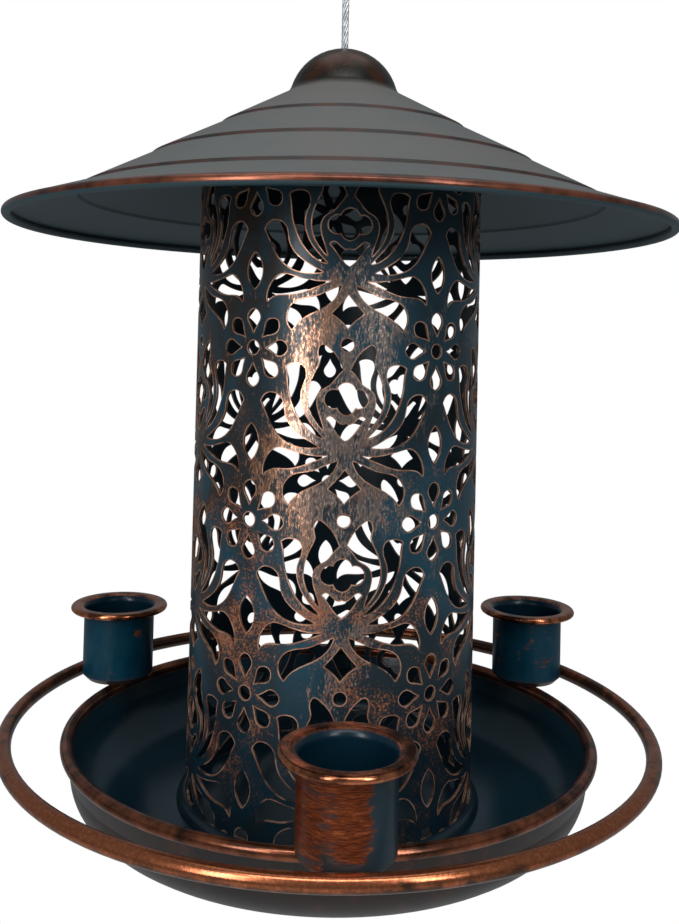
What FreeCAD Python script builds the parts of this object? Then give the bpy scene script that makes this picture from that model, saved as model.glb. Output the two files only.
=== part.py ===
import FreeCAD, Part
import math
import os
import Sketcher

V = FreeCAD.Vector

# A hanging bird feeder: a coolie-hat roof that slides on a steel cable, a tube
# pierced with a floral pattern, a dished seed tray with three cups on its rim,
# and a round perch outside them.  Millimetres, +Z up, the front is -Y, and the
# origin is the middle of the tray's flat underside.

doc = FreeCAD.newDocument("hanging_bird_feeder")
os.makedirs("parts", exist_ok=True)

SIZES = [
    # tray
    ("tray_sheet", "1"),
    ("tray_floor_radius", "78.5"),
    ("tray_corner_radius", "17"),
    ("tray_bead_centre", "97"),
    ("tray_bead_height", "25.3"),
    ("tray_bead_radius", "2.2"),
    ("tray_wall_outer", "=tray_floor_radius + tray_corner_radius"),
    ("tray_wall_inner", "=tray_wall_outer - tray_sheet"),
    ("tray_corner_inner", "=tray_corner_radius - tray_sheet"),
    ("tray_bead_foot", "=tray_bead_height - tray_bead_radius"),
    ("tray_bead_inner_r", "=tray_bead_centre - 0.574 * tray_bead_radius"),
    ("tray_bead_inner_z", "=tray_bead_height - 0.819 * tray_bead_radius"),
    # perch ring
    ("perch_radius", "118.4"),
    ("perch_bar_radius", "2.7"),
    ("perch_height", "28.8"),
    # tube
    ("tube_radius", "53.7"),
    ("tube_sheet", "0.8"),
    ("tube_inner", "=tube_radius - tube_sheet"),
    ("tube_top", "248.4"),
    ("seat_ring_radius", "56.9"),
    ("seat_ring_height", "3.2"),
    ("seat_ring_top", "=tray_sheet + seat_ring_height"),
    # filigree
    ("filigree_columns", "5"),
    ("filigree_rise", "58.3"),
    ("filigree_first", "20.9"),
    ("filigree_turn", "3.5"),
    ("filigree_low", "4.2"),
    ("filigree_high", "242.5"),
    # roof
    ("roof_rim_radius", "125"),
    ("roof_rim_height", "215.1"),
    ("roof_bead_radius", "1.7"),
    ("roof_sheet", "0.9"),
    ("roof_run", "1.85"),
    ("roof_cone_radius", "118.65"),
    ("roof_hole_radius", "2"),
    ("dome_radius", "21.3"),
    ("dome_centre", "=roof_rim_height + 49"),
    ("dome_fillet", "6"),
    ("step_one", "47.5"),
    ("step_two", "73.5"),
    ("step_three", "98.7"),
    ("step_width", "0.8"),
    ("step_drop", "1.13"),
    ("roof_slant", "=sqrt(1 + roof_run ^ 2)"),
    ("roof_depth", "=roof_sheet * roof_slant / roof_run"),
    ("band_fall", "=(step_two - step_one - step_width) / roof_run - step_drop + step_width / roof_run"),
    ("step_one_top", "=roof_rim_height + (roof_cone_radius - step_one) / roof_run"),
    ("step_one_foot", "=step_one_top - step_drop"),
    ("step_two_top", "=step_one_foot - band_fall"),
    ("step_two_foot", "=step_two_top - step_drop"),
    ("step_three_top", "=step_two_foot - band_fall * (step_three - step_two) / (step_two - step_one)"),
    ("step_three_foot", "=step_three_top - step_drop"),
    ("step_one_end", "=step_one + step_width"),
    ("step_two_end", "=step_two + step_width"),
    ("step_three_end", "=step_three + step_width"),
    ("step_one_top_in", "=step_one_top - roof_depth"),
    ("step_one_foot_in", "=step_one_foot - roof_depth"),
    ("step_two_top_in", "=step_two_top - roof_depth"),
    ("step_two_foot_in", "=step_two_foot - roof_depth"),
    ("step_three_top_in", "=step_three_top - roof_depth"),
    ("step_three_foot_in", "=step_three_foot - roof_depth"),
    ("roof_bead_centre", "=roof_rim_radius - roof_bead_radius"),
    ("roof_bead_top", "=roof_rim_height + roof_bead_radius"),
    ("roof_bead_inner_r", "=roof_bead_centre - 0.7071 * roof_bead_radius"),
    ("roof_bead_inner_z", "=roof_rim_height + 0.7071 * roof_bead_radius"),
    ("dome_depth", "=(roof_cone_radius - roof_run * (dome_centre - roof_rim_height)) / roof_slant"),
    ("fillet_out", "=dome_depth + dome_fillet"),
    ("fillet_along", "=sqrt((dome_radius + dome_fillet) ^ 2 - fillet_out ^ 2)"),
    ("fillet_r", "=(fillet_out + roof_run * fillet_along) / roof_slant"),
    ("fillet_z", "=dome_centre + (roof_run * fillet_out - fillet_along) / roof_slant"),
    ("dome_share", "=dome_radius / (dome_radius + dome_fillet)"),
    ("dome_foot_r", "=fillet_r * dome_share"),
    ("dome_foot_z", "=dome_centre + (fillet_z - dome_centre) * dome_share"),
    ("cone_top_r", "=fillet_r - dome_fillet / roof_slant"),
    ("cone_top_z", "=fillet_z - dome_fillet * roof_run / roof_slant"),
    ("dome_inner", "=dome_radius - roof_sheet"),
    ("fillet_inner", "=dome_fillet + roof_sheet"),
    ("dome_share_in", "=dome_inner / (dome_radius + dome_fillet)"),
    ("dome_foot_in_r", "=fillet_r * dome_share_in"),
    ("dome_foot_in_z", "=dome_centre + (fillet_z - dome_centre) * dome_share_in"),
    ("cone_top_in_r", "=fillet_r - fillet_inner / roof_slant"),
    ("cone_top_in_z", "=fillet_z - fillet_inner * roof_run / roof_slant"),
    ("dome_hole_z", "=dome_centre + sqrt(dome_radius ^ 2 - roof_hole_radius ^ 2)"),
    ("dome_hole_in_z", "=dome_centre + sqrt(dome_inner ^ 2 - roof_hole_radius ^ 2)"),
    # cups, heights from the cup's own underside
    ("cup_count", "3"),
    ("cup_distance", "101.9"),
    ("cup_turn", "3.1"),
    ("cup_foot", "27.4"),
    ("cup_radius", "14.6"),
    ("cup_sheet", "0.9"),
    ("cup_height", "30.7"),
    ("cup_chamfer", "2.2"),
    ("cup_lip_radius", "1.25"),
    ("cup_rim_radius", "20.1"),
    ("cup_flare", "3"),
    ("cup_inner", "=cup_radius - cup_sheet"),
    ("cup_foot_radius", "=cup_radius - cup_chamfer"),
    ("cup_floor", "1.6"),
    ("cup_floor_radius", "=cup_inner - cup_chamfer"),
    ("cup_floor_edge", "=cup_floor + cup_chamfer"),
    ("cup_flare_start", "=cup_height - cup_flare"),
    ("cup_flare_end", "=cup_inner + cup_flare"),
    ("cup_lip_centre", "=cup_rim_radius - cup_lip_radius"),
    ("cup_lip_under", "=cup_height - 2 * cup_lip_radius"),
    ("cup_neck", "=cup_lip_under - 1.2"),
    ("cup_neck_end", "=cup_radius + 1.2"),
    ("cup_neck_radius", "1.2"),
    ("cup_lip_middle", "=cup_height - cup_lip_radius"),
    # cable and what holds it
    ("cable_radius", "1.35"),
    ("strand_gap", "2.75"),
    ("sleeve_foot", "340"),
    ("sleeve_length", "12"),
    ("sleeve_radius", "2.4"),
    ("stop_radius", "2.7"),
    ("stop_length", "8.5"),
    ("bar_height", "246"),
    ("bar_sheet", "1.5"),
    ("bar_width", "10"),
    ("bar_tab", "10"),
    ("bar_hole_radius", "1.5"),
    ("bar_length", "=2 * tube_radius"),
    ("bar_top", "=bar_height + bar_sheet"),
    ("bar_tab_foot", "=bar_top - bar_tab"),
    ("bar_tab_inner", "=tube_inner - bar_sheet"),
    ("stop_foot", "=bar_height - stop_length"),
    ("rivet_radius", "1.2"),
    ("rivet_head_radius", "2"),
    ("rivet_head", "0.8"),
    ("rivet_height", "=tube_top - 4.5"),
    # weld beads under each cup
    ("weld_radius", "1.9"),
    ("perch_weld_radius", "=perch_radius - 3.9"),
    ("perch_weld_height", "=cup_foot - 0.3"),
    ("rim_weld_radius", "=tray_bead_centre + 2"),
    ("rim_weld_height", "=cup_foot - 0.9"),
]

sizes = doc.addObject("Spreadsheet::Sheet", "sizes")
for row, (alias, content) in enumerate(SIZES, 1):
    sizes.set("A%d" % row, alias)
    sizes.set("B%d" % row, content)
    sizes.setAlias("B%d" % row, alias)
doc.recompute()


def size(alias):
    return float(sizes.get(alias))


def bind(obj, prop, alias):
    obj.setExpression(prop, "sizes." + alias)


def origin_plane(body, role):
    return [f for f in body.Origin.OriginFeatures if f.Role == role][0]


def profile_sketch(body, name, start, runs):
    """A closed outline in the XZ plane.

    start is a pair of aliases; each run is (end r, end z) for a straight, or
    (end r, end z, centre r, centre z, radius, way) for an arc, where way is
    1 counter-clockwise and -1 clockwise.  "zero" stands for the axis or z = 0.
    """
    sketch = body.newObject("Sketcher::SketchObject", name)
    sketch.AttachmentSupport = [(origin_plane(body, "XZ_Plane"), "")]
    sketch.MapMode = "FlatFace"
    doc.recompute()

    def at(r, z):
        return V(0 if r == "zero" else size(r), 0 if z == "zero" else size(z), 0)

    here = start
    joints = []
    for run in runs:
        a, b = at(*here), at(run[0], run[1])
        if len(run) == 2:
            sketch.addGeometry(Part.LineSegment(a, b), False)
            joints.append((1, 2))
        else:
            centre, radius, way = at(run[2], run[3]), size(run[4]), run[5]
            first = math.atan2(a.y - centre.y, a.x - centre.x)
            last = math.atan2(b.y - centre.y, b.x - centre.x)
            if way < 0:
                first, last = last, first
            if last < first:
                last += 2 * math.pi
            circle = Part.Circle(centre, V(0, 0, 1), radius)
            sketch.addGeometry(Part.ArcOfCircle(circle, first, last), False)
            joints.append((1, 2) if way > 0 else (2, 1))
        here = (run[0], run[1])
    count = len(runs)
    for i in range(count):
        j = (i + 1) % count
        sketch.addConstraint(Sketcher.Constraint("Coincident", i, joints[i][1], j, joints[j][0]))
    for i, run in enumerate(runs):
        for way, alias in (("DistanceX", run[0]), ("DistanceY", run[1])):
            end = joints[i][1]
            if alias == "zero":
                axis = -2 if way == "DistanceX" else -1
                sketch.addConstraint(Sketcher.Constraint("PointOnObject", i, end, axis))
            else:
                value = size(alias)
                k = sketch.addConstraint(Sketcher.Constraint(way, -1, 1, i, end, value))
                sketch.setExpression("Constraints[%d]" % k, "sizes." + alias)
        if len(run) > 2:
            k = sketch.addConstraint(Sketcher.Constraint("Radius", i, size(run[4])))
            sketch.setExpression("Constraints[%d]" % k, "sizes." + run[4])
    doc.recompute()
    return sketch


def revolved(label, start, runs):
    body = doc.addObject("PartDesign::Body", label)
    sketch = profile_sketch(body, label + "_profile", start, runs)
    turn = body.newObject("PartDesign::Revolution", label + "_turn")
    turn.Profile = sketch
    turn.ReferenceAxis = (sketch, ["V_Axis"])
    turn.Angle = 360
    body.Tip = turn
    doc.recompute()
    return body


def cylinder(name, radius, height, base=None):
    """Height is an alias of the sheet, or a number where it follows from others."""
    obj = doc.addObject("Part::Cylinder", name)
    bind(obj, "Radius", radius)
    if isinstance(height, str):
        bind(obj, "Height", height)
    else:
        obj.Height = height
    if base:
        obj.Placement.Base = base
    return obj


def combined(kind, name, base, tool):
    obj = doc.addObject("Part::" + kind, name)
    obj.Base = base
    obj.Tool = tool
    return obj


# --- tray: a spun pan with a rolled rim -----------------------------------
tray = revolved("tray", ("zero", "zero"), [
    ("tray_floor_radius", "zero"),
    ("tray_wall_outer", "tray_corner_radius", "tray_floor_radius", "tray_corner_radius",
     "tray_corner_radius", 1),
    ("tray_bead_centre", "tray_bead_foot"),
    ("tray_bead_inner_r", "tray_bead_inner_z", "tray_bead_centre", "tray_bead_height",
     "tray_bead_radius", 1),
    ("tray_wall_inner", "tray_corner_radius"),
    ("tray_floor_radius", "tray_sheet", "tray_floor_radius", "tray_corner_radius",
     "tray_corner_inner", -1),
    ("zero", "tray_sheet"),
    ("zero", "zero"),
])

# --- round bead that seats the tube on the tray ----------------------------
seat_ring = revolved("tube_seat_ring", ("tube_radius", "tray_sheet"), [
    ("seat_ring_radius", "tray_sheet"),
    ("tube_radius", "seat_ring_top", "tube_radius", "tray_sheet", "seat_ring_height", 1),
    ("tube_radius", "tray_sheet"),
])

# --- roof: one pressed sheet, four bands with three steps, rolled edge ------
roof = revolved("roof", ("roof_hole_radius", "dome_hole_in_z"), [
    ("roof_hole_radius", "dome_hole_z"),
    ("dome_foot_r", "dome_foot_z", "zero", "dome_centre", "dome_radius", -1),
    ("cone_top_r", "cone_top_z", "fillet_r", "fillet_z", "dome_fillet", 1),
    ("step_one", "step_one_top"),
    ("step_one_end", "step_one_foot"),
    ("step_two", "step_two_top"),
    ("step_two_end", "step_two_foot"),
    ("step_three", "step_three_top"),
    ("step_three_end", "step_three_foot"),
    ("roof_bead_centre", "roof_bead_top"),
    ("roof_bead_inner_r", "roof_bead_inner_z", "roof_bead_centre", "roof_rim_height",
     "roof_bead_radius", -1),
    ("step_three_end", "step_three_foot_in"),
    ("step_three", "step_three_top_in"),
    ("step_two_end", "step_two_foot_in"),
    ("step_two", "step_two_top_in"),
    ("step_one_end", "step_one_foot_in"),
    ("step_one", "step_one_top_in"),
    ("cone_top_in_r", "cone_top_in_z"),
    ("dome_foot_in_r", "dome_foot_in_z", "fillet_r", "fillet_z", "fillet_inner", -1),
    ("roof_hole_radius", "dome_hole_in_z", "zero", "dome_centre", "dome_inner", 1),
])

# --- perch ring ------------------------------------------------------------
perch = doc.addObject("Part::Torus", "perch_ring")
bind(perch, "Radius1", "perch_radius")
bind(perch, "Radius2", "perch_bar_radius")
perch.setExpression("Placement.Base.z", "sizes.perch_height")

# --- three cups between the tray's rim and the perch ring -------------------
CUP_PROFILE = [
    ("cup_foot_radius", "zero"),
    ("cup_radius", "cup_chamfer"),
    ("cup_radius", "cup_neck"),
    ("cup_neck_end", "cup_lip_under", "cup_neck_end", "cup_neck", "cup_neck_radius", -1),
    ("cup_lip_centre", "cup_lip_under"),
    ("cup_rim_radius", "cup_lip_middle", "cup_lip_centre", "cup_lip_middle", "cup_lip_radius", 1),
    ("cup_lip_centre", "cup_height", "cup_lip_centre", "cup_lip_middle", "cup_lip_radius", 1),
    ("cup_flare_end", "cup_height"),
    ("cup_inner", "cup_flare_start", "cup_flare_end", "cup_flare_start", "cup_flare", 1),
    ("cup_inner", "cup_floor_edge"),
    ("cup_floor_radius", "cup_floor"),
    ("zero", "cup_floor"),
    ("zero", "zero"),
]


def around(radius, azimuth, height):
    """A point at an azimuth in degrees, counted from the front (-Y) towards +X."""
    a = math.radians(azimuth)
    return V(radius * math.sin(a), -radius * math.cos(a), height)


cup_azimuths = [size("cup_turn") + k * 360 / size("cup_count") for k in range(int(size("cup_count")))]
cups = []
for label, azimuth in zip(("cup_front", "cup_right", "cup_left"), cup_azimuths):
    body = revolved(label + "_body", ("zero", "zero"), CUP_PROFILE)
    body.Placement.Base = around(size("cup_distance"), azimuth, size("cup_foot"))
    off_perch = combined("Cut", label + "_off_perch", body, perch)
    cup = combined("Cut", label, off_perch, tray)
    cups.append(cup)
doc.recompute()


# --- weld beads that join each cup to the perch ring and to the tray's rim ---
def weld_beads(label, radius, height):
    beads = []
    for k, azimuth in enumerate(cup_azimuths):
        bead = doc.addObject("Part::Sphere", "%s_bead_%d" % (label, k + 1))
        bind(bead, "Radius", "weld_radius")
        bead.Placement.Base = around(size(radius), azimuth, size(height))
        shaped = combined("Cut", "%s_fit_%d" % (label, k + 1), bead, cups[k])
        shaped = combined("Cut", "%s_seat_%d" % (label, k + 1), shaped, tray)
        beads.append(combined("Cut", "%s_trim_%d" % (label, k + 1), shaped, perch))
    group = doc.addObject("Part::Compound", label)
    group.Links = beads
    return group


perch_welds = weld_beads("perch_welds", "perch_weld_radius", "perch_weld_height")
rim_welds = weld_beads("rim_welds", "rim_weld_radius", "rim_weld_height")
doc.recompute()

# --- filigree tube ----------------------------------------------------------
# Cut-out outlines in millimetres from the middle of a motif: across the sheet,
# then up it.  Each stretch is a smooth curve, and stretches meet at corners.
HEART = [
    [(0, 1.5), (2, 3.1), (4.1, 5.9), (6.6, 8.9)],
    [(6.6, 8.9), (5.3, 9.7), (3.4, 8.4), (0, 7.4)],
]
QUATREFOIL = [
    [(0, 10.2), (1.9, 11), (3, 12.7)],
    [(3, 12.7), (5.2, 12.6), (7, 14), (7.1, 16.6), (5.6, 18.3), (3.1, 18.5)],
    [(3.1, 18.5), (2.1, 20.2), (0, 21)],
]
DIAMOND = [
    [(0, -8), (1.9, -10.4), (5.5, -14.4)],
    [(5.5, -14.4), (2.6, -16.4), (0, -19.2)],
]
FLAME = [
    [(7.5, 4.9), (10, 7.8), (12.3, 12), (13, 16), (12.4, 20), (10.6, 24.4), (9.3, 28), (9.8, 31.2),
     (8.6, 33.5), (6.2, 32.4), (3.4, 29.4), (1.3, 25.2)],
    [(1.3, 25.2), (3.8, 22.4), (5.8, 20.1), (8.2, 18.7), (9.8, 16.4), (10, 13.6), (9.2, 10.4),
     (7.5, 4.9)],
]
CRESCENT = [
    [(7.4, 2.4), (9.8, 4.9), (12.2, 7.6), (14.4, 11.4), (15.4, 15), (15.1, 19), (13.8, 23), (14.5, 26),
     (17, 27), (20.9, 25.9)],
    [(20.9, 25.9), (20.2, 22.4), (19.8, 18.5), (18.3, 13.3), (16.2, 9.1), (13.6, 5.9), (10.4, 3.4),
     (7.4, 2.4)],
]
HIGH_LEAF = [
    [(8.8, -0.6), (14.6, 2.6), (19, 6.3), (21, 10.4), (22.3, 15.2), (25.4, 17), (30, 14.1)],
    [(30, 14.1), (27, 8.4), (23.8, 3.6), (20, 0.7), (14.5, -0.8), (8.8, -0.6)],
]
LOW_LEAF = [
    [(5.8, -3.3), (13.8, -3.1), (19, -1.9), (23.2, -1.3), (27.2, -4.6), (28.4, -10.6)],
    [(28.4, -10.6), (25.4, -8.5), (19.8, -8.1), (12.8, -6.2), (5.8, -3.3)],
]
COMMA = [
    [(2.5, -5), (6, -6.4), (11, -8.6), (16.8, -9.9), (20.1, -12.6), (20.9, -16.6), (19, -20)],
    [(19, -20), (17.2, -17.6), (12.8, -14.6), (8.4, -12.4), (4.4, -9), (2.5, -5)],
]
PETAL = [[(5, 0), (7.6, 1.3), (10.6, 2.6), (13.2, 0), (10.6, -2.6), (7.6, -1.3), (5, 0)]]
LENS = [
    [(0, 6.3), (2.2, 3.6), (3.1, 0), (2.2, -3.6), (0, -6.3)],
    [(0, -6.3), (-2.2, -3.6), (-3.1, 0), (-2.2, 3.6), (0, 6.3)],
]
PETALS = 8
FLOWER_DROP = -26.3
FLOWER_EYE = 2.4
BUD_DROP = -24.8
BUD_RADIUS = 2.2
CUT_DEPTH = 4

tube_r = size("tube_radius")
column_angle = 360 / size("filigree_columns")
half_column = math.pi * tube_r / size("filigree_columns")


def mirrored(outline):
    return [[(-x, y) for x, y in reversed(run)] for run in reversed(outline)]


def moved(outline, across, up, turn=0):
    c, s = math.cos(turn), math.sin(turn)
    return [[(across + c * x - s * y, up + s * x + c * y) for x, y in run] for run in outline]


def radial_frame(across):
    a = across / tube_r
    return V(math.sin(a), -math.cos(a), 0), V(math.cos(a), math.sin(a), 0), a


def outline_cutter(outline):
    """A prism along the tube's radius through the middle of the outline."""
    xs = [x for run in outline for x, y in run]
    out, side, a = radial_frame((min(xs) + max(xs)) / 2)
    edges = []
    for run in outline:
        points = [out * (tube_r - CUT_DEPTH) + side * (tube_r * math.sin(x / tube_r - a)) + V(0, 0, y)
                  for x, y in run]
        curve = Part.BSplineCurve()
        curve.interpolate(Points=points)
        edges.append(curve.toShape())
    return Part.Face(Part.Wire(edges)).extrude(out * (2 * CUT_DEPTH))


def round_cutter(across, up, radius):
    out = radial_frame(across)[0]
    return Part.makeCylinder(radius, 2 * CUT_DEPTH, out * (tube_r - CUT_DEPTH) + V(0, 0, up), out)


motif = [outline_cutter(half + mirrored(half)) for half in (HEART, QUATREFOIL, DIAMOND)]
for side_hole in (FLAME, CRESCENT, HIGH_LEAF, LOW_LEAF, COMMA):
    motif += [outline_cutter(side_hole), outline_cutter(mirrored(side_hole))]
lenses = [outline_cutter(moved(LENS, across, 0)) for across in (-half_column, half_column)]
flowers = [round_cutter(0, BUD_DROP, BUD_RADIUS)]
for across in (-half_column, half_column):
    flowers.append(round_cutter(across, FLOWER_DROP, FLOWER_EYE))
    for k in range(PETALS):
        flowers.append(outline_cutter(moved(PETAL, across, FLOWER_DROP, 2 * math.pi * k / PETALS)))

low, high = size("filigree_low"), size("filigree_high")
rise, first = size("filigree_rise"), size("filigree_first")
rows = int((high - first) / rise) + 1
cutters = []
for row in range(-1, rows + 1):
    kinds = flowers + (motif + lenses if row < rows else [])
    for cutter in kinds:
        placed = cutter.copy()
        placed.translate(V(0, 0, first + row * rise))
        box = placed.BoundBox
        if box.ZMax > low and box.ZMin < high:
            cutters.append(placed)


def sleeve(base, top, angle=360):
    outer = Part.makeCylinder(tube_r, top - base, V(0, 0, base), V(0, 0, 1), angle)
    return outer.cut(Part.makeCylinder(size("tube_inner"), top - base, V(0, 0, base), V(0, 0, 1), angle))


column = sleeve(low, high, column_angle)
column.rotate(V(0, 0, 0), V(0, 0, 1), -90 - column_angle / 2)
column = column.cut(cutters)
columns = []
for k in range(int(size("filigree_columns"))):
    turned = column.copy()
    turned.rotate(V(0, 0, 0), V(0, 0, 1), size("filigree_turn") + k * column_angle)
    columns.append(turned)
bar_azimuth = size("filigree_turn") + column_angle
bar_way = around(1, bar_azimuth, 0)
rivet_hole = Part.makeCylinder(
    size("rivet_radius"), size("bar_length"), bar_way * -tube_r + V(0, 0, size("rivet_height")), bar_way)
bands = [sleeve(size("tray_sheet"), low), sleeve(high, size("tube_top")).cut(rivet_hole)]
filigree_tube = doc.addObject("Part::Feature", "filigree_tube")
filigree_tube.Shape = columns[0].multiFuse(columns[1:] + bands)

# --- hanger bar across the top of the tube, riveted to it --------------------
half_width = size("bar_width") / 2


def bar_box(name, height_alias, base):
    box = doc.addObject("Part::Box", name)
    bind(box, "Length", "bar_length")
    bind(box, "Width", "bar_width")
    bind(box, "Height", height_alias)
    box.Placement.Base = V(-size("bar_length") / 2, -half_width, size(base))
    return box


strap_stock = bar_box("strap_stock", "bar_sheet", "bar_height")
inside = cylinder("tube_inside", "tube_inner", "tube_top")
strap = combined("Common", "strap", inside, strap_stock)
tab_outer = cylinder("tab_outer", "tube_inner", "tube_top")
tab_inner = cylinder("tab_inner", "bar_tab_inner", "tube_top")
tab_shell = combined("Cut", "tab_shell", tab_outer, tab_inner)
tab_stock = bar_box("tab_stock", "bar_tab", "bar_tab_foot")
tabs = combined("Common", "tabs", tab_shell, tab_stock)
bent_bar = combined("Fuse", "bent_bar", strap, tabs)
cable_hole = cylinder("cable_hole", "bar_hole_radius", "tube_top")
drilled_bar = combined("Cut", "drilled_bar", bent_bar, cable_hole)

shank = cylinder("rivet_holes", "rivet_radius", "bar_length", V(-tube_r, 0, size("rivet_height")))
shank.Placement.Rotation = FreeCAD.Rotation(V(0, 1, 0), 90)
hanger_bar = combined("Cut", "hanger_bar", drilled_bar, shank)

rivets = []
seat = math.sqrt(size("bar_tab_inner") ** 2 - size("rivet_head_radius") ** 2)
for k, way in enumerate((1, -1)):
    name = "rivet_%d" % (k + 1)
    axis = FreeCAD.Rotation(V(0, 0, 1), V(way, 0, 0))
    parts = []
    for label, radius, start, length in (
            ("shank", "rivet_radius", seat - size("rivet_head"), tube_r - seat + 2 * size("rivet_head")),
            ("outer", "rivet_head_radius", tube_r, size("rivet_head")),
            ("inner", "rivet_head_radius", seat - size("rivet_head"), size("rivet_head"))):
        piece = cylinder("%s_%s" % (name, label), radius, length, V(way * start, 0, size("rivet_height")))
        piece.Placement.Rotation = axis
        parts.append(piece)
    fused = doc.addObject("Part::MultiFuse", name)
    fused.Shapes = parts
    rivets.append(fused)
hanger_rivets = doc.addObject("Part::Compound", "hanger_rivets")
hanger_rivets.Links = rivets

doc.recompute()
turn_to_bar = FreeCAD.Placement(V(0, 0, 0), FreeCAD.Rotation(V(0, 0, 1), bar_azimuth - 90))
for obj in (hanger_bar, hanger_rivets):
    obj.Placement = turn_to_bar
doc.recompute()

# --- cable, its eye, the sleeve that closes the eye and the stop below the bar
# Corners of the cable's line in the XZ plane: up through the roof, round the
# eye, and back down into the sleeve.
gap = size("strand_gap")
middle = gap / 2
CABLE_ROUTE = [
    (0, 235.5), (0, 360), (-8.4, 371.5), (-6.2, 381.5), (middle, 386),
    (gap + 6.2, 381.5), (gap + 8.4, 371.5), (gap, 360), (gap, 338.5),
]


def rounded_route(corners):
    """Straight runs joined by tangent arcs, each as wide as its shorter run allows."""
    edges = []
    here = corners[0]
    for before, corner, after in zip(corners, corners[1:], corners[2:]):
        back, ahead = (before - corner), (after - corner)
        half_turn = (math.pi - back.getAngle(ahead)) / 2
        reach = 0.45 * min(back.Length, ahead.Length)
        radius = reach / math.tan(half_turn)
        back.normalize()
        ahead.normalize()
        enter, leave = corner + back * reach, corner + ahead * reach
        inward = (back + ahead).normalize()
        apex = corner + inward * (radius / math.cos(half_turn) - radius)
        edges.append(Part.makeLine(here, enter))
        edges.append(Part.Arc(enter, apex, leave).toShape())
        print("cable arc radius %.1f" % radius)
        here = leave
    edges.append(Part.makeLine(here, corners[-1]))
    return Part.Wire(edges)


path = rounded_route([V(x, 0, z) for x, z in CABLE_ROUTE])
start = V(CABLE_ROUTE[0][0], 0, CABLE_ROUTE[0][1])
section = Part.Wire([Part.makeCircle(size("cable_radius"), start, V(0, 0, 1))])
cable = doc.addObject("Part::Feature", "hanging_cable")
cable.Shape = path.makePipeShell([section], True, False)
print("cable length %.1f" % path.Length)
print("cable volume share %.4f" % (cable.Shape.Volume / (path.Length * math.pi * size("cable_radius") ** 2)))

sleeve_body = doc.addObject("Part::Box", "sleeve_middle")
sleeve_body.Length = gap
sleeve_body.Width = 2 * size("sleeve_radius")
bind(sleeve_body, "Height", "sleeve_length")
sleeve_body.Placement.Base = V(0, -size("sleeve_radius"), size("sleeve_foot"))
sides = [cylinder("sleeve_side_%d" % k, "sleeve_radius", "sleeve_length", V(x, 0, size("sleeve_foot")))
         for k, x in ((1, 0), (2, gap))]
crimped = doc.addObject("Part::MultiFuse", "sleeve_crimped")
crimped.Shapes = [sleeve_body] + sides
loop_sleeve = combined("Cut", "loop_sleeve", crimped, cable)

stop_stock = cylinder("stop_stock", "stop_radius", "stop_length", V(0, 0, size("stop_foot")))
stop_sleeve = combined("Cut", "stop_sleeve", stop_stock, cable)
doc.recompute()

# --- checks and export --------------------------------------------------------
NODES = [tray, seat_ring, filigree_tube, hanger_bar, hanger_rivets, perch] + cups + [
    perch_welds, rim_welds, cable, loop_sleeve, stop_sleeve, roof]
for obj in doc.Objects:
    if "Invalid" in obj.State or "Error" in obj.State:
        raise RuntimeError("%s did not compute" % obj.Label)
for node in NODES:
    shape = node.Shape
    if shape.isNull() or not shape.isValid():
        raise RuntimeError("%s has no valid shape" % node.Label)
    shape.exportStep(os.path.join("parts", node.Label + ".step"))
    box = shape.BoundBox
    print("%-16s solids %d  volume %.1f  x %.1f..%.1f y %.1f..%.1f z %.1f..%.1f" % (
        node.Label, len(shape.Solids), shape.Volume,
        box.XMin, box.XMax, box.YMin, box.YMax, box.ZMin, box.ZMax))
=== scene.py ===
import math
import bpy
from mathutils import Matrix, Vector


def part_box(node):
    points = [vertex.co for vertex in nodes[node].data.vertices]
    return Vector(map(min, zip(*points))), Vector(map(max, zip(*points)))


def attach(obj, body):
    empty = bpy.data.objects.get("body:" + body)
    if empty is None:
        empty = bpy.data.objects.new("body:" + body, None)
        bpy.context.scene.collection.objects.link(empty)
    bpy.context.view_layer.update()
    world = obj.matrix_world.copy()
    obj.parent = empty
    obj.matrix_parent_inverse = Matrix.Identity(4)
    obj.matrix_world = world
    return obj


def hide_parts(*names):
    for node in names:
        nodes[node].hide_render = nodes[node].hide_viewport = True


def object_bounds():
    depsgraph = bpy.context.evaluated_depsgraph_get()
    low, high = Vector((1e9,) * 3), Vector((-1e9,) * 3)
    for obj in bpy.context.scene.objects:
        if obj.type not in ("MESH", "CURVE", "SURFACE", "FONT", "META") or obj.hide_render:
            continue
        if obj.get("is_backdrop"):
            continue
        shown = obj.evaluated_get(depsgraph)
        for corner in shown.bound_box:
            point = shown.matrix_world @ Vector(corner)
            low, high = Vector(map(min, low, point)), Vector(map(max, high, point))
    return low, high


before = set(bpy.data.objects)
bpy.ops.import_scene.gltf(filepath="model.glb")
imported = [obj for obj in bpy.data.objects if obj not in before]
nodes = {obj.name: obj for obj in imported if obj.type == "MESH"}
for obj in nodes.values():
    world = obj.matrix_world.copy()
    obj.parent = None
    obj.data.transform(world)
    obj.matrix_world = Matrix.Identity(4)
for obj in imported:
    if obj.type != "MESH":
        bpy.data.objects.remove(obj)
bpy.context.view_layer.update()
scene = bpy.context.scene


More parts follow.
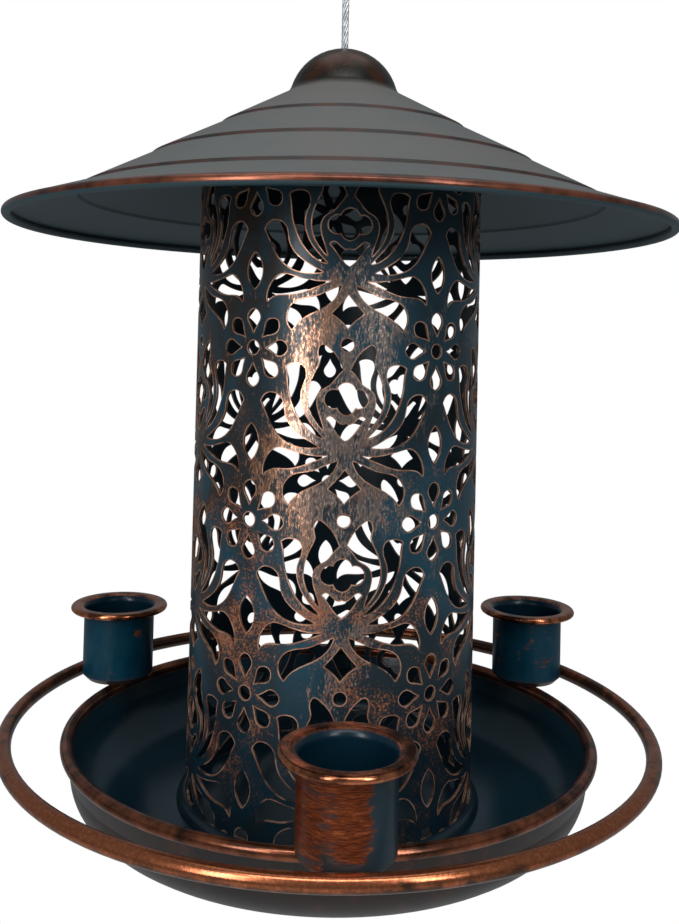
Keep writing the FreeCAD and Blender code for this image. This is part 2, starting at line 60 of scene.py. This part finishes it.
# ---------------------------------------------------------------- camera ----
def make_camera():
    """Eye level between roof and tray, close in, tipped up and rolled slightly."""
    data = bpy.data.cameras.new("camera")
    data.lens = 39.34
    data.sensor_width = 36
    data.shift_x = 0.0016
    data.shift_y = -0.1643
    data.clip_start = 0.01
    cam = bpy.data.objects.new("camera", data)
    scene.collection.objects.link(cam)
    pitch, roll = math.radians(1.72), math.radians(1.33)
    right = Vector((math.cos(roll), 0, math.sin(roll)))
    level = Vector((-math.sin(roll), 0, math.cos(roll)))
    ahead = Vector((0, 1, 0)) * math.cos(pitch) + level * math.sin(pitch)
    up = level * math.cos(pitch) - Vector((0, 1, 0)) * math.sin(pitch)
    turn = Matrix((right, up, -ahead)).transposed().to_4x4()
    cam.matrix_world = Matrix.Translation((0, -0.390, 0.1725)) @ turn
    scene.camera = cam


make_camera()


# --------------------------------------------------------- node materials ----
class Shader:
    """A short way to write a node tree around one Principled shader."""

    def __init__(self, name):
        self.mat = bpy.data.materials.new(name)
        self.mat.use_nodes = True
        self.tree = self.mat.node_tree
        self.bsdf = self.tree.nodes["Principled BSDF"]
        self.here = self.add("ShaderNodeTexCoord").outputs["Object"]
        split = self.add("ShaderNodeSeparateXYZ")
        self.join(self.here, split.inputs[0])
        self.x, self.y, self.z = split.outputs

    def add(self, kind, **props):
        node = self.tree.nodes.new(kind)
        for key, value in props.items():
            setattr(node, key, value)
        return node

    def join(self, source, socket):
        if hasattr(source, "is_output"):
            self.tree.links.new(source, socket)
        else:
            socket.default_value = source

    def math(self, operation, a, b=0.0, c=0.0, clamp=False):
        node = self.add("ShaderNodeMath", operation=operation, use_clamp=clamp)
        for socket, value in zip(node.inputs, (a, b, c)):
            self.join(value, socket)
        return node.outputs[0]

    def radius(self, cx=0.0, cy=0.0):
        """Distance from an upright axis."""
        dx, dy = self.math("SUBTRACT", self.x, cx), self.math("SUBTRACT", self.y, cy)
        squares = self.math("ADD", self.math("MULTIPLY", dx, dx), self.math("MULTIPLY", dy, dy))
        return self.math("SQRT", squares)

    def outward(self, cx=0.0, cy=0.0):
        """1 where the surface faces away from an upright axis, -1 where it faces it."""
        nx, ny, nz = self.normal()
        dx, dy = self.math("SUBTRACT", self.x, cx), self.math("SUBTRACT", self.y, cy)
        facing = self.math("ADD", self.math("MULTIPLY", dx, nx), self.math("MULTIPLY", dy, ny))
        return self.math("DIVIDE", facing, self.radius(cx, cy))

    def stretched(self, scale):
        node = self.add("ShaderNodeVectorMath", operation="MULTIPLY")
        self.join(self.here, node.inputs[0])
        node.inputs[1].default_value = scale
        return node.outputs[0]

    def noise(self, scale, detail=4.0, rough=0.55, stretch=None, distort=0.0):
        node = self.add("ShaderNodeTexNoise")
        self.join(self.stretched(stretch) if stretch else self.here, node.inputs["Vector"])
        node.inputs["Scale"].default_value = scale
        node.inputs["Detail"].default_value = detail
        node.inputs["Roughness"].default_value = rough
        node.inputs["Distortion"].default_value = distort
        return node.outputs["Fac"]

    def step(self, value, low, high):
        """0 below low, 1 above high, smooth between; swap them to fall instead."""
        node = self.add("ShaderNodeMapRange", interpolation_type="SMOOTHSTEP")
        self.join(value, node.inputs["Value"])
        flip = low > high
        node.inputs["From Min"].default_value = min(low, high)
        node.inputs["From Max"].default_value = max(low, high)
        node.inputs["To Min"].default_value = 1.0 if flip else 0.0
        node.inputs["To Max"].default_value = 0.0 if flip else 1.0
        return node.outputs["Result"]

    def mix(self, share, a, b):
        node = self.add("ShaderNodeMix", data_type="RGBA")
        self.join(share, node.inputs["Factor"])
        for socket, value in ((node.inputs["A"], a), (node.inputs["B"], b)):
            self.join((*value, 1) if isinstance(value, tuple) else value, socket)
        return node.outputs["Result"]

    def blend(self, share, a, b):
        node = self.add("ShaderNodeMix", data_type="FLOAT")
        for socket, value in ((node.inputs["Factor"], share), (node.inputs["A"], a), (node.inputs["B"], b)):
            self.join(value, socket)
        return node.outputs["Result"]

    def normal(self):
        """The surface's own normal, as three sockets."""
        split = self.add("ShaderNodeSeparateXYZ")
        self.join(self.add("ShaderNodeTexCoord").outputs["Normal"], split.inputs[0])
        return split.outputs

    def edge(self, width, low=0.02, high=0.12):
        """1 on sharp edges: how far a rounded normal leans from the true one."""
        bevel = self.add("ShaderNodeBevel", samples=6)
        bevel.inputs["Radius"].default_value = width
        geometry = self.add("ShaderNodeNewGeometry")
        dot = self.add("ShaderNodeVectorMath", operation="DOT_PRODUCT")
        self.join(bevel.outputs[0], dot.inputs[0])
        self.join(geometry.outputs["Normal"], dot.inputs[1])
        return self.step(self.math("SUBTRACT", 1.0, dot.outputs["Value"]), low, high)

    def bump(self, height, strength, distance):
        node = self.add("ShaderNodeBump")
        self.join(height, node.inputs["Height"])
        node.inputs["Strength"].default_value = strength
        node.inputs["Distance"].default_value = distance
        self.join(node.outputs["Normal"], self.bsdf.inputs["Normal"])

    def finish(self, colour, metal, rough, specular=0.5, coat=0.0, coat_rough=0.2):
        self.join(colour, self.bsdf.inputs["Base Color"])
        self.join(metal, self.bsdf.inputs["Metallic"])
        self.join(rough, self.bsdf.inputs["Roughness"])
        self.bsdf.inputs["Specular IOR Level"].default_value = specular
        self.bsdf.inputs["Coat Weight"].default_value = coat
        self.bsdf.inputs["Coat Roughness"].default_value = coat_rough
        return self.mat


TEAL = (0.009, 0.046, 0.070)
DEEP = (0.003, 0.013, 0.021)
COPPER = (0.60, 0.23, 0.11)
BRIGHT = (0.98, 0.56, 0.37)
RUST = (0.17, 0.045, 0.014)


def tube_material():
    s = Shader("filigree_patina")
    outward = s.outward()
    wall = s.step(s.math("ABSOLUTE", outward), 0.75, 0.35)
    inside = s.step(outward, -0.3, -0.6)
    outer = s.math("SUBTRACT", 1.0, inside)
    rim = s.edge(0.0008, 0.010, 0.060)
    speck = s.noise(1700, 5, 0.65, (1, 1, 0.36))
    brush = s.noise(420, 6, 0.7, (1, 1, 0.20), 0.4)
    cloud = s.noise(24, 3, 0.5, (1, 1, 0.6))
    patch = s.noise(60, 4, 0.6, (1, 1, 0.75), 0.3)
    # copper film most in front, less on the left and least on the right: partly brushed wear, partly a
    # painted highlight on the lit front
    across = s.math("ADD", s.x, s.math("MULTIPLY", s.math("SUBTRACT", cloud, 0.5), 0.05))
    left = s.step(across, -0.006, -0.034)
    right = s.step(across, 0.008, 0.034)
    sides = s.math("ADD", s.math("MULTIPLY", left, 0.50), s.math("MULTIPLY", right, 0.50))
    # less copper film low down and just under the roof: painted shade
    low = s.step(s.math("ADD", s.z, s.math("MULTIPLY", patch, 0.06)), 0.165, 0.050)
    shaded_ends = s.math("MAXIMUM", low, s.step(s.z, 0.188, 0.206))
    bare = s.math("SUBTRACT", s.math("SUBTRACT", 0.54, sides), s.math("MULTIPLY", shaded_ends, 0.46))
    bare = s.math("ADD", bare, s.math("MULTIPLY", s.math("SUBTRACT", patch, 0.5), 1.9))
    dots = s.math("ADD", s.math("MULTIPLY", speck, 0.5), s.math("MULTIPLY", brush, 0.5))
    film = s.math("MULTIPLY", s.step(s.math("ADD", dots, s.math("MULTIPLY", bare, 0.40)), 0.61, 0.79), outer)
    # right of centre the copper film turns grey-pink: a painted reflection
    painted_reflection_side = s.step(across, -0.018, 0.006)
    dull = s.mix(right, s.mix(painted_reflection_side, (0.40, 0.20, 0.115), (0.27, 0.205, 0.175)), (0.085, 0.105, 0.115))
    bright = s.mix(right, s.mix(painted_reflection_side, (0.85, 0.43, 0.25), (0.66, 0.49, 0.41)), (0.26, 0.21, 0.18))
    film_colour = s.mix(s.step(speck, 0.50, 0.66), s.mix(left, dull, (0.23, 0.105, 0.055)), bright)
    patina = s.mix(s.step(cloud, 0.40, 0.62), TEAL, (0.010, 0.020, 0.026))
    patina = s.mix(s.math("MULTIPLY", left, s.step(patch, 0.40, 0.60)), patina, (0.024, 0.016, 0.012))
    # the foot, down in the tray, turns deep teal: painted shade
    patina = s.mix(s.math("MULTIPLY", s.step(s.z, 0.075, 0.020), 0.8), patina, DEEP)
    skin = s.mix(film, patina, film_colour)
    # rust sprinkled over the lower half, thinner again at the foot
    rusty = s.math("MULTIPLY_ADD", s.noise(50, 3), 0.4, s.math("MULTIPLY", s.noise(1300, 5, 0.75), 0.6))
    belt = s.math("MULTIPLY_ADD", s.step(s.z, 0.02, 0.055), 0.7, 0.3)
    belt = s.math("MULTIPLY", belt, s.step(s.z, 0.17, 0.10))
    rusty = s.math("MULTIPLY", s.step(rusty, 0.535, 0.60), s.math("MULTIPLY", outer, belt))
    skin = s.mix(s.math("MULTIPLY", rusty, 0.85), skin, (0.34, 0.12, 0.05))
    # the tube's inner face is deep teal, darker than the outside: painted shade
    body = s.mix(inside, skin, DEEP)
    worn = s.math("MULTIPLY", rim, s.math("SUBTRACT", 1.0, s.math("MULTIPLY", inside, 0.85)))
    broken = s.math("ADD", s.noise(130, 3), s.math("MULTIPLY", s.step(s.z, 0.02, 0.06), 0.08))
    worn = s.math("MULTIPLY", worn, s.step(broken, 0.40, 0.56))
    worn = s.math("MULTIPLY", worn, s.math("SUBTRACT", 1.0, s.math("MULTIPLY", wall, 0.55)))
    colour = s.mix(s.math("MULTIPLY", wall, 0.8), body, (0.020, 0.014, 0.012))
    colour = s.mix(worn, colour, s.mix(s.step(s.noise(200, 3), 0.35, 0.6), COPPER, BRIGHT))
    metal = s.math("MAXIMUM", s.math("MULTIPLY", film, 0.85), s.math("MULTIPLY", worn, 0.65))
    s.bump(s.math("ADD", speck, brush), 0.22, 0.0002)
    return s.finish(colour, metal, s.blend(film, 0.34, 0.25), 0.30, 0.12, 0.16)


def roof_material(steps, bead, dome):
    s = Shader("roof_patina")
    nz = s.normal()[2]
    r = s.radius()
    under = s.step(nz, 0.05, -0.05)
    fine = s.noise(900, 5, 0.6)
    cloud = s.noise(18, 4, 0.5)
    streak = s.noise(110, 5, 0.6, (1, 1, 0.5))
    top = s.mix(s.step(cloud, 0.35, 0.65), (0.076, 0.083, 0.082), (0.086, 0.082, 0.076))
    top = s.mix(s.math("MULTIPLY", s.step(streak, 0.5, 0.75), 0.35), top, (0.056, 0.058, 0.056))
    # a dark line along each step crease: painted shade, with a brown tint of wear mixed in
    line = None
    for place in steps:
        near = s.step(s.math("ABSOLUTE", s.math("SUBTRACT", r, place + 0.0004)), 0.0011, 0.0004)
        line = near if line is None else s.math("MAXIMUM", line, near)
    crease_shade_colour = s.mix(s.step(s.noise(60, 3), 0.42, 0.62), (0.012, 0.008, 0.007), (0.038, 0.012, 0.007))
    top = s.mix(line, top, crease_shade_colour)
    cap = s.step(r, dome + 0.0015, dome - 0.002)
    cap_colour = s.mix(s.step(s.noise(50, 4), 0.40, 0.62), (0.009, 0.010, 0.008), (0.058, 0.019, 0.007))
    cap_colour = s.mix(s.math("MULTIPLY", s.step(fine, 0.55, 0.75), 0.4), cap_colour, RUST)
    top = s.mix(cap, top, cap_colour)
    low = s.mix(s.step(cloud, 0.35, 0.65), (0.013, 0.040, 0.050), (0.019, 0.049, 0.060))
    colour = s.mix(under, top, low)
    # the bead's copper shows only on its upper front, a painted highlight over mottled wear; at the sides and
    # back it turns teal-grey, a painted reflection
    lip = s.step(r, bead - 0.0006, bead + 0.0003)
    lip = s.math("MULTIPLY", lip, s.step(nz, -0.45, -0.15))
    grey_reflection_sides = s.step(s.y, -0.02, -0.10)
    lip_colour = s.mix(s.step(s.noise(70, 5, 0.65), 0.36, 0.66), (0.060, 0.020, 0.012), (0.21, 0.066, 0.036))
    lip_colour = s.mix(grey_reflection_sides, (0.085, 0.100, 0.105), lip_colour)
    colour = s.mix(lip, colour, lip_colour)
    metal = s.math("ADD", s.math("MULTIPLY", lip, 0.7), s.math("MULTIPLY", cap, 0.60), clamp=True)
    rough = s.blend(lip, s.blend(cap, s.blend(under, 0.52, 0.42), 0.33), 0.28)
    s.bump(s.math("ADD", fine, streak), 0.08, 0.0002)
    return s.finish(colour, metal, rough, 0.45)


def tray_material(bead_z):
    s = Shader("tray_patina")
    outside = s.step(s.math("SUBTRACT", s.outward(), s.normal()[2]), 0.05, 0.25)
    cloud = s.noise(22, 4, 0.5)
    fine = s.noise(700, 4, 0.6)
    inner = s.mix(s.step(cloud, 0.35, 0.65), (0.0025, 0.014, 0.023), (0.005, 0.023, 0.035))
    outer = s.mix(s.step(cloud, 0.35, 0.62), (0.009, 0.005, 0.004), (0.020, 0.009, 0.006))
    streak = s.step(s.noise(120, 5, 0.65, (1, 1, 0.35)), 0.50, 0.72)
    outer = s.mix(s.math("MULTIPLY", streak, 0.6), outer, (0.070, 0.020, 0.009))
    colour = s.mix(outside, inner, outer)
    rim = s.step(s.z, bead_z - 0.0026, bead_z - 0.0014)
    rim_colour = s.mix(s.step(s.noise(85, 5, 0.65), 0.32, 0.74), (0.040, 0.015, 0.009), (0.34, 0.108, 0.050))
    colour = s.mix(rim, colour, rim_colour)
    rough = s.blend(rim, s.blend(outside, 0.25, 0.34), 0.20)
    s.bump(s.math("ADD", fine, cloud), 0.08, 0.0003)
    return s.finish(colour, s.math("MULTIPLY", rim, 0.8), rough, 0.35, 0.12, 0.18)


def ring_material():
    s = Shader("perch_copper")
    nz = s.normal()[2]
    mottle = s.noise(75, 6, 0.68, None, 0.6)
    fine = s.noise(900, 5, 0.6)
    front = s.step(s.y, 0.0, -0.10)
    # copper shows more on the top and the front: partly wear, partly a painted highlight there and painted
    # shade underneath
    worn = s.math("ADD", mottle, s.math("ADD", s.math("MULTIPLY", nz, 0.15), s.math("MULTIPLY", front, 0.17)))
    worn = s.step(worn, 0.50, 0.74)
    dark = s.mix(s.noise(40, 3), (0.036, 0.020, 0.013), (0.085, 0.036, 0.018))
    copper = s.mix(s.step(fine, 0.40, 0.75), (0.36, 0.106, 0.044), (0.54, 0.185, 0.084))
    colour = s.mix(worn, dark, copper)
    s.bump(s.math("ADD", fine, mottle), 0.07, 0.0002)
    return s.finish(colour, s.blend(worn, 0.7, 0.9), s.blend(mottle, 0.16, 0.26), 0.35, 0.08, 0.12)


def cup_material(name, cx, cy, rim_z, body_r, bare, tint):
    s = Shader(name)
    r = s.radius(cx, cy)
    dx = s.math("SUBTRACT", s.x, cx)
    fine = s.noise(3200, 4, 0.6, (0.10, 0.10, 1))
    brush = s.noise(700, 5, 0.65, (0.16, 0.16, 1), 0.3)
    cloud = s.noise(60, 4, 0.6, None, 0.3)
    spots = s.step(s.noise(120, 5, 0.6, None, 0.5), 0.63, 0.68)
    teal = s.mix(s.step(cloud, 0.35, 0.65), (0.0012, 0.024, 0.044), (0.003, 0.038, 0.064))
    inner = s.step(s.outward(cx, cy), 0.1, -0.1)
    outer = s.math("SUBTRACT", 1.0, inner)
    # the front cup is rubbed from its left round to the middle
    turn = s.math("MULTIPLY", s.step(dx, 0.0105, 0.002), bare)
    rub = s.math("ADD", s.math("MULTIPLY", brush, 0.35), s.math("MULTIPLY", cloud, 0.65))
    high = s.step(s.z, rim_z - 0.0275, rim_z - 0.0190)
    turn = s.math("MULTIPLY", turn, s.math("MULTIPLY_ADD", high, 0.6, 0.4))
    rubbed = s.math("MULTIPLY", s.step(s.math("ADD", rub, s.math("MULTIPLY", turn, 0.26)), 0.60, 0.72), outer)
    copper = s.mix(s.step(fine, 0.40, 0.64), (0.090, 0.018, 0.005), (0.23, 0.048, 0.013))
    copper = s.mix(s.math("MULTIPLY", s.step(brush, 0.53, 0.70), 0.42), copper, (0.66, 0.20, 0.075))
    # the inside of the cup is a darker teal than the outside: painted shade
    teal = s.mix(inner, teal, (0.0018, 0.014, 0.025))
    faded = s.mix(s.step(dx, 0.002, 0.011), (0.024, 0.019, 0.016), (0.016, 0.030, 0.038))
    grey = s.mix(s.math("MULTIPLY", tint, outer), teal, faded)
    side = s.mix(rubbed, grey, copper)
    side = s.mix(s.math("MULTIPLY", spots, outer), side, (0.16, 0.045, 0.018))
    foot = s.math("MULTIPLY", s.step(s.z, rim_z - 0.0270, rim_z - 0.0300), s.step(cloud, 0.3, 0.5))
    side = s.mix(s.math("MULTIPLY", foot, 0.7), side, (0.075, 0.035, 0.020))
    lip = s.step(r, body_r - 0.0002, body_r + 0.0012)
    lip = s.math("MULTIPLY", lip, s.step(s.z, rim_z - 0.0045, rim_z - 0.0030))
    lip_colour = s.mix(s.step(s.noise(110, 5, 0.65), 0.36, 0.66), (0.060, 0.019, 0.009), (0.64, 0.215, 0.098))
    colour = s.mix(lip, side, lip_colour)
    metal = s.math("MAXIMUM", s.math("MULTIPLY", lip, 0.92), s.math("MULTIPLY", rubbed, 0.6))
    s.bump(s.math("ADD", fine, brush), 0.16, 0.0002)
    return s.finish(colour, metal, s.blend(lip, s.blend(rubbed, 0.28, 0.34), 0.15), 0.24, 0.05, 0.12)


def dark_metal(name, low, high, rough, metal=0.2):
    s = Shader(name)
    cloud = s.noise(60, 5, 0.6)
    fine = s.noise(900, 4, 0.6)
    colour = s.mix(s.step(cloud, 0.35, 0.65), low, high)
    colour = s.mix(s.math("MULTIPLY", s.step(fine, 0.58, 0.74), 0.4), colour, RUST)
    s.bump(fine, 0.15, 0.0002)
    return s.finish(colour, metal, s.blend(cloud, rough - 0.08, rough + 0.08), 0.5)


def steel_wire():
    s = Shader("galvanised_wire")
    cloud = s.noise(300, 4, 0.6)
    fine = s.noise(2600, 3, 0.6)
    colour = s.mix(s.step(cloud, 0.35, 0.68), (0.34, 0.36, 0.37), (0.60, 0.62, 0.63))
    s.bump(fine, 0.12, 0.0001)
    return s.finish(colour, 0.85, s.blend(fine, 0.28, 0.42), 0.5)


def crimped_aluminium():
    s = Shader("crimped_aluminium")
    cloud = s.noise(180, 5, 0.6)
    fine = s.noise(1800, 4, 0.6, (1, 1, 0.3))
    colour = s.mix(s.step(cloud, 0.35, 0.68), (0.42, 0.43, 0.44), (0.66, 0.67, 0.68))
    s.bump(s.math("ADD", cloud, fine), 0.3, 0.0002)
    return s.finish(colour, 0.9, s.blend(fine, 0.30, 0.46), 0.5)


def give(node, material):
    mesh = nodes[node].data
    mesh.materials.clear()
    mesh.materials.append(material)


ROOF_STEPS = (0.0475, 0.0735, 0.0987)
ROOF_BEAD_FROM = 0.1214
DOME_FOOT = 0.0222
TRAY_BEAD_Z = 0.0253
CUP_RADIUS = 0.0146

give("filigree_tube", tube_material())
give("roof", roof_material(ROOF_STEPS, ROOF_BEAD_FROM, DOME_FOOT))
give("tray", tray_material(TRAY_BEAD_Z))
give("perch_ring", ring_material())
give("tube_seat_ring", dark_metal("seat_ring_patina", (0.004, 0.013, 0.020), (0.008, 0.024, 0.034), 0.30))
give("hanger_bar", dark_metal("hanger_patina", DEEP, TEAL, 0.42))
# the light brown patches in the perch welds' colour stand in for a glint: a painted highlight
give("perch_welds", dark_metal("weld_brown", (0.050, 0.027, 0.019), (0.40, 0.23, 0.15), 0.30, 0.7))
give("rim_welds", dark_metal("rim_weld_brown", (0.022, 0.016, 0.014), (0.080, 0.038, 0.022), 0.45))
give("hanger_rivets", crimped_aluminium())
give("loop_sleeve", crimped_aluminium())
give("stop_sleeve", crimped_aluminium())
for cup, bare, tint in (("cup_front", 1.0, 0.8), ("cup_left", 0.1, 0.0), ("cup_right", -0.1, 0.0)):
    low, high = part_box(cup)
    cx, cy = (low[0] + high[0]) / 2, (low[1] + high[1]) / 2
    give(cup, cup_material(cup + "_patina", cx, cy, high[2], CUP_RADIUS, bare, tint))


# ------------------------------------------------------------------ cable ----
GAP = 0.00275
CABLE_ROUTE = [
    (0, 0.2355), (0, 0.3458), (0, 0.360), (-0.0084, 0.3715), (-0.0062, 0.3815), (GAP / 2, 0.386),
    (GAP + 0.0062, 0.3815), (GAP + 0.0084, 0.3715), (GAP, 0.360), (GAP, 0.3385),
]
ROPE_RADIUS = 0.00135
STRANDS = 6
STRAND_RADIUS = 0.00047
LAY_RADIUS = ROPE_RADIUS - STRAND_RADIUS
CORE_SHARE = 0.72
LAY_PITCH = 0.0165
POINT_GAP = 0.0006


def route_points(route):
    """Points along the smooth NURBS line whose control points are the route."""
    curve = bpy.data.curves.new("route", "CURVE")
    curve.dimensions = "3D"
    spline = curve.splines.new("NURBS")
    spline.points.add(len(route) - 1)
    for point, (x, z) in zip(spline.points, route):
        point.co = (x, 0, z, 1)
    spline.order_u = 3
    spline.use_endpoint_u = True
    spline.resolution_u = 24
    holder = bpy.data.objects.new("route", curve)
    line = bpy.data.meshes.new_from_object(holder)
    points = [v.co.copy() for v in line.vertices]
    bpy.data.objects.remove(holder)
    bpy.data.meshes.remove(line)
    return points


def even(points, gap):
    """The same line with its points an even distance apart."""
    out = [points[0]]
    left = gap
    for a, b in zip(points, points[1:]):
        run = (b - a).length
        at = 0.0
        while run - at >= left:
            at += left
            out.append(a.lerp(b, at / run))
            left = gap
        left -= run - at
    if (out[-1] - points[-1]).length > gap * 0.3:
        out.append(points[-1])
    return out


def strand_tubes(name, line, strands, lay_radius, strand_radius, pitch, sides=8):
    """Wires laid round the line as a right-hand rope, plus a core."""
    verts, faces = [], []
    normal = Vector((0, 1, 0))
    frames = []
    for i, p in enumerate(line):
        ahead = (line[min(i + 1, len(line) - 1)] - line[max(i - 1, 0)]).normalized()
        side = (normal - ahead * normal.dot(ahead)).normalized()
        frames.append((p, ahead, side, ahead.cross(side)))
    gone = [0.0]
    for a, b in zip(line, line[1:]):
        gone.append(gone[-1] + (b - a).length)

    def tube(centres, radius):
        base = len(verts)
        for i, c in enumerate(centres):
            t = (centres[min(i + 1, len(centres) - 1)] - centres[max(i - 1, 0)]).normalized()
            u = frames[i][2] - t * frames[i][2].dot(t)
            u.normalize()
            w = t.cross(u)
            for k in range(sides):
                a = 2 * math.pi * k / sides
                verts.append(c + (u * math.cos(a) + w * math.sin(a)) * radius)
        for i in range(len(centres) - 1):
            for k in range(sides):
                j = (k + 1) % sides
                faces.append((base + i * sides + k, base + i * sides + j,
                              base + (i + 1) * sides + j, base + (i + 1) * sides + k))
        faces.append(tuple(base + k for k in reversed(range(sides))))
        end = base + (len(centres) - 1) * sides
        faces.append(tuple(end + k for k in range(sides)))

    for k in range(strands):
        centres = []
        for i, (p, ahead, side, other) in enumerate(frames):
            a = 2 * math.pi * (k / strands + gone[i] / pitch)
            centres.append(p + (side * math.cos(a) + other * math.sin(a)) * lay_radius)
        tube(centres, strand_radius)
    tube([f[0] for f in frames], lay_radius * CORE_SHARE)
    mesh = bpy.data.meshes.new(name)
    mesh.from_pydata([tuple(v) for v in verts], [], faces)
    mesh.polygons.foreach_set("use_smooth", [True] * len(mesh.polygons))
    piece = bpy.data.objects.new(name, mesh)
    scene.collection.objects.link(piece)
    return piece


line = even(route_points(CABLE_ROUTE), POINT_GAP)
rope = strand_tubes("wire_rope", line, STRANDS, LAY_RADIUS, STRAND_RADIUS, LAY_PITCH)
rope.data.materials.append(steel_wire())
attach(rope, "feeder")
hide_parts("hanging_cable")


# ------------------------------------------------------- floor and lights ----
def white_to_the_eye(tree, seen, unseen):
    """The shader seen by the camera is plain white; the light it gives is unseen's."""
    path = tree.nodes.new("ShaderNodeLightPath")
    mix = tree.nodes.new("ShaderNodeMixShader")
    tree.links.new(path.outputs["Is Camera Ray"], mix.inputs[0])
    tree.links.new(unseen, mix.inputs[1])
    tree.links.new(seen, mix.inputs[2])
    return mix.outputs[0]


def make_stage():
    size, z = 6.0, -0.6
    mesh = bpy.data.meshes.new("floor")
    corners = [(-size, -size, z), (size, -size, z), (size, size, z), (-size, size, z)]
    mesh.from_pydata(corners, [], [(0, 1, 2, 3)])
    floor = bpy.data.objects.new("floor", mesh)
    scene.collection.objects.link(floor)
    s = Shader("pale_floor")
    pale = s.mix(s.noise(3, 2), (0.70, 0.70, 0.70), (0.74, 0.74, 0.74))
    mesh.materials.append(s.finish(pale, 0.0, 0.9, 0.1))
    glow = s.add("ShaderNodeEmission")
    out = s.tree.nodes["Material Output"]
    s.join(white_to_the_eye(s.tree, glow.outputs[0], s.bsdf.outputs[0]), out.inputs["Surface"])
    floor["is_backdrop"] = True


def make_world():
    world = bpy.data.worlds.new("studio")
    world.use_nodes = True
    tree = world.node_tree
    white = tree.nodes["Background"]
    white.inputs["Color"].default_value = (1, 1, 1, 1)
    room = tree.nodes.new("ShaderNodeBackground")
    room.inputs["Color"].default_value = (0.80, 0.92, 1.0, 1)
    room.inputs["Strength"].default_value = 0.22
    shown = white_to_the_eye(tree, white.outputs[0], room.outputs[0])
    tree.links.new(shown, tree.nodes["World Output"].inputs["Surface"])
    scene.world = world


def area_light(name, place, target, size, power, colour=(1, 1, 1)):
    data = bpy.data.lights.new(name, "AREA")
    data.shape = "RECTANGLE"
    data.size, data.size_y = size
    data.energy = power
    data.color = colour
    light = bpy.data.objects.new(name, data)
    scene.collection.objects.link(light)
    away = Vector(place) - Vector(target)
    light.matrix_world = Matrix.Translation(place) @ away.to_track_quat("Z", "Y").to_matrix().to_4x4()


make_stage()
make_world()
area_light("window_left", (-0.52, -0.92, 0.42), (0, 0, 0.17), (0.20, 0.8), 6.5)
area_light("window_right", (0.56, -0.96, 0.62), (0, 0, 0.17), (0.16, 0.6), 4.0)
area_light("overhead", (0.0, 0.1, 1.3), (0, 0, 0.2), (1.0, 0.8), 2.8)
area_light("front_top", (0.05, -0.72, 1.05), (0, -0.1, 0.05), (1.0, 0.22), 5.6)
scene.view_settings.view_transform = "Standard"

low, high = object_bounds()
